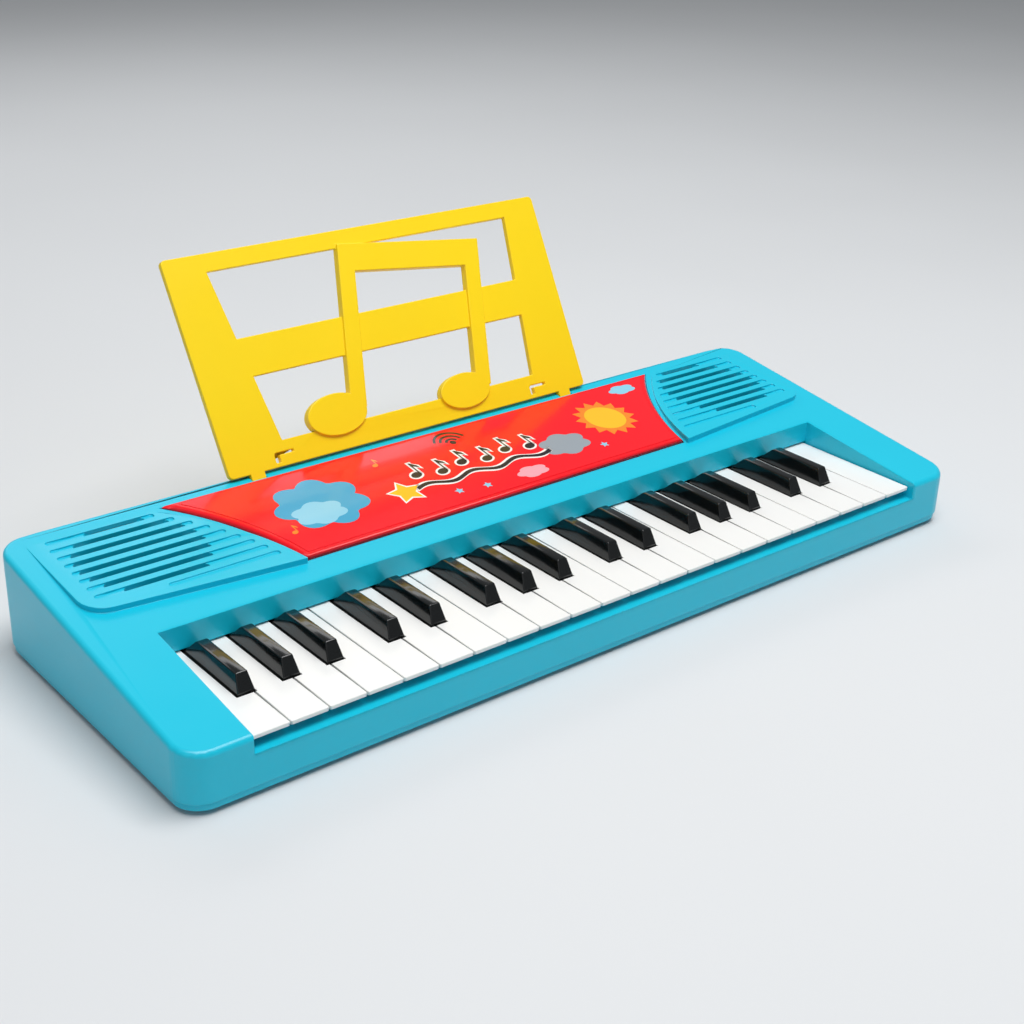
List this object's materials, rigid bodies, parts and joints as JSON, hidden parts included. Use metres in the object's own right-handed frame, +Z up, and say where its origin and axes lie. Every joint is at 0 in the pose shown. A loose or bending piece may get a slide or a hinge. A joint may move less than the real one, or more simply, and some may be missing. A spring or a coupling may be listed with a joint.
{
  "type": "toy electronic keyboard",
  "caption": "Toy keyboard with sprung white and black keys in a sloping case, round speaker grilles, a raised panel and a lift-out windowed music stand.",
  "frame": {"origin": "on the table, under the middle of the whole object, midway between the front wall and the top of the leaning music stand", "axes": "+X to the player's right along the keys, +Y from the player to the back, +Z up"},
  "size_m": [0.462, 0.22, 0.1478],
  "materials": {
    "key_white": "satin moulded plastic",
    "key_black": "polished moulded plastic",
    "turquoise_plastic": "semi-gloss moulded plastic",
    "red_plastic": "gloss moulded plastic",
    "label_film": "printed gloss film",
    "circuit_board": "solder mask",
    "yellow_plastic": "satin moulded plastic",
    "chassis_plastic": "moulded",
    "steel": "plated",
    "grey_rubber": "moulded",
    "felt": "felt",
    "speaker_cone": "pressed paper",
    "black_rubber": "moulded",
    "black_plastic": "moulded"
  },
  "bodies": {
    "case": {"upper_case": "turquoise_plastic", "lower_case": "turquoise_plastic", "control_panel": "red_plastic", "panel_label": "label_film", "touch_board": "circuit_board", "main_board": "circuit_board", "contact_board": "circuit_board", "keybed": "chassis_plastic", "key_pivot_rod": "steel", "contact_strip": "grey_rubber", "key_stop_felt": "felt", "speaker_left": "steel", "speaker_right": "steel", "speaker_left_cone": "speaker_cone", "speaker_right_cone": "speaker_cone", "battery_contacts": "steel", "case_screws": "steel", "rubber_feet": "black_rubber", "mic_jack": "black_plastic", "power_jack": "black_plastic"},
    "white_key_01": {"white_key_01": "key_white"},
    "white_key_02": {"white_key_02": "key_white"},
    "white_key_03": {"white_key_03": "key_white"},
    "white_key_04": {"white_key_04": "key_white"},
    "white_key_05": {"white_key_05": "key_white"},
    "white_key_06": {"white_key_06": "key_white"},
    "white_key_07": {"white_key_07": "key_white"},
    "white_key_08": {"white_key_08": "key_white"},
    "white_key_09": {"white_key_09": "key_white"},
    "white_key_10": {"white_key_10": "key_white"},
    "white_key_11": {"white_key_11": "key_white"},
    "white_key_12": {"white_key_12": "key_white"},
    "white_key_13": {"white_key_13": "key_white"},
    "white_key_14": {"white_key_14": "key_white"},
    "white_key_15": {"white_key_15": "key_white"},
    "white_key_16": {"white_key_16": "key_white"},
    "white_key_17": {"white_key_17": "key_white"},
    "white_key_18": {"white_key_18": "key_white"},
    "white_key_19": {"white_key_19": "key_white"},
    "white_key_20": {"white_key_20": "key_white"},
    "white_key_21": {"white_key_21": "key_white"},
    "white_key_22": {"white_key_22": "key_white"},
    "black_key_01": {"black_key_01": "key_black"},
    "black_key_02": {"black_key_02": "key_black"},
    "black_key_03": {"black_key_03": "key_black"},
    "black_key_04": {"black_key_04": "key_black"},
    "black_key_05": {"black_key_05": "key_black"},
    "black_key_06": {"black_key_06": "key_black"},
    "black_key_07": {"black_key_07": "key_black"},
    "black_key_08": {"black_key_08": "key_black"},
    "black_key_09": {"black_key_09": "key_black"},
    "black_key_10": {"black_key_10": "key_black"},
    "black_key_11": {"black_key_11": "key_black"},
    "black_key_12": {"black_key_12": "key_black"},
    "black_key_13": {"black_key_13": "key_black"},
    "black_key_14": {"black_key_14": "key_black"},
    "black_key_15": {"black_key_15": "key_black"},
    "music_stand": {"music_stand": "yellow_plastic"},
    "battery_cover": {"battery_cover": "turquoise_plastic", "battery_cover_screw": "steel"}
  },
  "joints": [
    {"name": "white_key_01_press", "type": "hinge", "parent": "case", "child": "white_key_01", "pos_m": [-0.1911, -0.01799, 0.019], "axis": [1, 0, 0], "range_deg": [0, 2.3], "stiffness_Nm_per_rad": 0.5, "springref_deg": -2.58},
    {"name": "white_key_02_press", "type": "hinge", "parent": "case", "child": "white_key_02", "pos_m": [-0.1729, -0.01799, 0.019], "axis": [1, 0, 0], "range_deg": [0, 2.3], "stiffness_Nm_per_rad": 0.5, "springref_deg": -2.58},
    {"name": "white_key_03_press", "type": "hinge", "parent": "case", "child": "white_key_03", "pos_m": [-0.1547, -0.01799, 0.019], "axis": [1, 0, 0], "range_deg": [0, 2.3], "stiffness_Nm_per_rad": 0.5, "springref_deg": -2.58},
    {"name": "white_key_04_press", "type": "hinge", "parent": "case", "child": "white_key_04", "pos_m": [-0.1365, -0.01799, 0.019], "axis": [1, 0, 0], "range_deg": [0, 2.3], "stiffness_Nm_per_rad": 0.5, "springref_deg": -2.58},
    {"name": "white_key_05_press", "type": "hinge", "parent": "case", "child": "white_key_05", "pos_m": [-0.1183, -0.01799, 0.019], "axis": [1, 0, 0], "range_deg": [0, 2.3], "stiffness_Nm_per_rad": 0.5, "springref_deg": -2.58},
    {"name": "white_key_06_press", "type": "hinge", "parent": "case", "child": "white_key_06", "pos_m": [-0.1001, -0.01799, 0.019], "axis": [1, 0, 0], "range_deg": [0, 2.3], "stiffness_Nm_per_rad": 0.5, "springref_deg": -2.58},
    {"name": "white_key_07_press", "type": "hinge", "parent": "case", "child": "white_key_07", "pos_m": [-0.0819, -0.01799, 0.019], "axis": [1, 0, 0], "range_deg": [0, 2.3], "stiffness_Nm_per_rad": 0.5, "springref_deg": -2.58},
    {"name": "white_key_08_press", "type": "hinge", "parent": "case", "child": "white_key_08", "pos_m": [-0.0637, -0.01799, 0.019], "axis": [1, 0, 0], "range_deg": [0, 2.3], "stiffness_Nm_per_rad": 0.5, "springref_deg": -2.58},
    {"name": "white_key_09_press", "type": "hinge", "parent": "case", "child": "white_key_09", "pos_m": [-0.0455, -0.01799, 0.019], "axis": [1, 0, 0], "range_deg": [0, 2.3], "stiffness_Nm_per_rad": 0.5, "springref_deg": -2.58},
    {"name": "white_key_10_press", "type": "hinge", "parent": "case", "child": "white_key_10", "pos_m": [-0.0273, -0.01799, 0.019], "axis": [1, 0, 0], "range_deg": [0, 2.3], "stiffness_Nm_per_rad": 0.5, "springref_deg": -2.58},
    {"name": "white_key_11_press", "type": "hinge", "parent": "case", "child": "white_key_11", "pos_m": [-0.0091, -0.01799, 0.019], "axis": [1, 0, 0], "range_deg": [0, 2.3], "stiffness_Nm_per_rad": 0.5, "springref_deg": -2.58},
    {"name": "white_key_12_press", "type": "hinge", "parent": "case", "child": "white_key_12", "pos_m": [0.0091, -0.01799, 0.019], "axis": [1, 0, 0], "range_deg": [0, 2.3], "stiffness_Nm_per_rad": 0.5, "springref_deg": -2.58},
    {"name": "white_key_13_press", "type": "hinge", "parent": "case", "child": "white_key_13", "pos_m": [0.0273, -0.01799, 0.019], "axis": [1, 0, 0], "range_deg": [0, 2.3], "stiffness_Nm_per_rad": 0.5, "springref_deg": -2.58},
    {"name": "white_key_14_press", "type": "hinge", "parent": "case", "child": "white_key_14", "pos_m": [0.0455, -0.01799, 0.019], "axis": [1, 0, 0], "range_deg": [0, 2.3], "stiffness_Nm_per_rad": 0.5, "springref_deg": -2.58},
    {"name": "white_key_15_press", "type": "hinge", "parent": "case", "child": "white_key_15", "pos_m": [0.0637, -0.01799, 0.019], "axis": [1, 0, 0], "range_deg": [0, 2.3], "stiffness_Nm_per_rad": 0.5, "springref_deg": -2.58},
    {"name": "white_key_16_press", "type": "hinge", "parent": "case", "child": "white_key_16", "pos_m": [0.0819, -0.01799, 0.019], "axis": [1, 0, 0], "range_deg": [0, 2.3], "stiffness_Nm_per_rad": 0.5, "springref_deg": -2.58},
    {"name": "white_key_17_press", "type": "hinge", "parent": "case", "child": "white_key_17", "pos_m": [0.1001, -0.01799, 0.019], "axis": [1, 0, 0], "range_deg": [0, 2.3], "stiffness_Nm_per_rad": 0.5, "springref_deg": -2.58},
    {"name": "white_key_18_press", "type": "hinge", "parent": "case", "child": "white_key_18", "pos_m": [0.1183, -0.01799, 0.019], "axis": [1, 0, 0], "range_deg": [0, 2.3], "stiffness_Nm_per_rad": 0.5, "springref_deg": -2.58},
    {"name": "white_key_19_press", "type": "hinge", "parent": "case", "child": "white_key_19", "pos_m": [0.1365, -0.01799, 0.019], "axis": [1, 0, 0], "range_deg": [0, 2.3], "stiffness_Nm_per_rad": 0.5, "springref_deg": -2.58},
    {"name": "white_key_20_press", "type": "hinge", "parent": "case", "child": "white_key_20", "pos_m": [0.1547, -0.01799, 0.019], "axis": [1, 0, 0], "range_deg": [0, 2.3], "stiffness_Nm_per_rad": 0.5, "springref_deg": -2.58},
    {"name": "white_key_21_press", "type": "hinge", "parent": "case", "child": "white_key_21", "pos_m": [0.1729, -0.01799, 0.019], "axis": [1, 0, 0], "range_deg": [0, 2.3], "stiffness_Nm_per_rad": 0.5, "springref_deg": -2.58},
    {"name": "white_key_22_press", "type": "hinge", "parent": "case", "child": "white_key_22", "pos_m": [0.1911, -0.01799, 0.019], "axis": [1, 0, 0], "range_deg": [0, 2.3], "stiffness_Nm_per_rad": 0.5, "springref_deg": -2.58},
    {"name": "black_key_01_press", "type": "hinge", "parent": "case", "child": "black_key_01", "pos_m": [-0.1852, -0.01799, 0.019], "axis": [1, 0, 0], "range_deg": [0, 2.8], "stiffness_Nm_per_rad": 0.5, "springref_deg": -2.58},
    {"name": "black_key_02_press", "type": "hinge", "parent": "case", "child": "black_key_02", "pos_m": [-0.1638, -0.01799, 0.019], "axis": [1, 0, 0], "range_deg": [0, 2.8], "stiffness_Nm_per_rad": 0.5, "springref_deg": -2.58},
    {"name": "black_key_03_press", "type": "hinge", "parent": "case", "child": "black_key_03", "pos_m": [-0.1424, -0.01799, 0.019], "axis": [1, 0, 0], "range_deg": [0, 2.8], "stiffness_Nm_per_rad": 0.5, "springref_deg": -2.58},
    {"name": "black_key_04_press", "type": "hinge", "parent": "case", "child": "black_key_04", "pos_m": [-0.1112, -0.01799, 0.019], "axis": [1, 0, 0], "range_deg": [0, 2.8], "stiffness_Nm_per_rad": 0.5, "springref_deg": -2.58},
    {"name": "black_key_05_press", "type": "hinge", "parent": "case", "child": "black_key_05", "pos_m": [-0.0886, -0.01799, 0.019], "axis": [1, 0, 0], "range_deg": [0, 2.8], "stiffness_Nm_per_rad": 0.5, "springref_deg": -2.58},
    {"name": "black_key_06_press", "type": "hinge", "parent": "case", "child": "black_key_06", "pos_m": [-0.0578, -0.01799, 0.019], "axis": [1, 0, 0], "range_deg": [0, 2.8], "stiffness_Nm_per_rad": 0.5, "springref_deg": -2.58},
    {"name": "black_key_07_press", "type": "hinge", "parent": "case", "child": "black_key_07", "pos_m": [-0.0364, -0.01799, 0.019], "axis": [1, 0, 0], "range_deg": [0, 2.8], "stiffness_Nm_per_rad": 0.5, "springref_deg": -2.58},
    {"name": "black_key_08_press", "type": "hinge", "parent": "case", "child": "black_key_08", "pos_m": [-0.015, -0.01799, 0.019], "axis": [1, 0, 0], "range_deg": [0, 2.8], "stiffness_Nm_per_rad": 0.5, "springref_deg": -2.58},
    {"name": "black_key_09_press", "type": "hinge", "parent": "case", "child": "black_key_09", "pos_m": [0.0162, -0.01799, 0.019], "axis": [1, 0, 0], "range_deg": [0, 2.8], "stiffness_Nm_per_rad": 0.5, "springref_deg": -2.58},
    {"name": "black_key_10_press", "type": "hinge", "parent": "case", "child": "black_key_10", "pos_m": [0.0388, -0.01799, 0.019], "axis": [1, 0, 0], "range_deg": [0, 2.8], "stiffness_Nm_per_rad": 0.5, "springref_deg": -2.58},
    {"name": "black_key_11_press", "type": "hinge", "parent": "case", "child": "black_key_11", "pos_m": [0.0696, -0.01799, 0.019], "axis": [1, 0, 0], "range_deg": [0, 2.8], "stiffness_Nm_per_rad": 0.5, "springref_deg": -2.58},
    {"name": "black_key_12_press", "type": "hinge", "parent": "case", "child": "black_key_12", "pos_m": [0.091, -0.01799, 0.019], "axis": [1, 0, 0], "range_deg": [0, 2.8], "stiffness_Nm_per_rad": 0.5, "springref_deg": -2.58},
    {"name": "black_key_13_press", "type": "hinge", "parent": "case", "child": "black_key_13", "pos_m": [0.1124, -0.01799, 0.019], "axis": [1, 0, 0], "range_deg": [0, 2.8], "stiffness_Nm_per_rad": 0.5, "springref_deg": -2.58},
    {"name": "black_key_14_press", "type": "hinge", "parent": "case", "child": "black_key_14", "pos_m": [0.1436, -0.01799, 0.019], "axis": [1, 0, 0], "range_deg": [0, 2.8], "stiffness_Nm_per_rad": 0.5, "springref_deg": -2.58},
    {"name": "black_key_15_press", "type": "hinge", "parent": "case", "child": "black_key_15", "pos_m": [0.1662, -0.01799, 0.019], "axis": [1, 0, 0], "range_deg": [0, 2.8], "stiffness_Nm_per_rad": 0.5, "springref_deg": -2.58},
    {"name": "stand_lift", "type": "slide", "parent": "case", "child": "music_stand", "axis": [0, 0.5, 0.866], "range_m": [0, 0.03]},
    {"name": "battery_cover_hinge", "type": "hinge", "parent": "case", "child": "battery_cover", "pos_m": [0, -0.00009, 0.0036], "axis": [-1, 0, 0], "range_deg": [0, 80]}
  ]
}
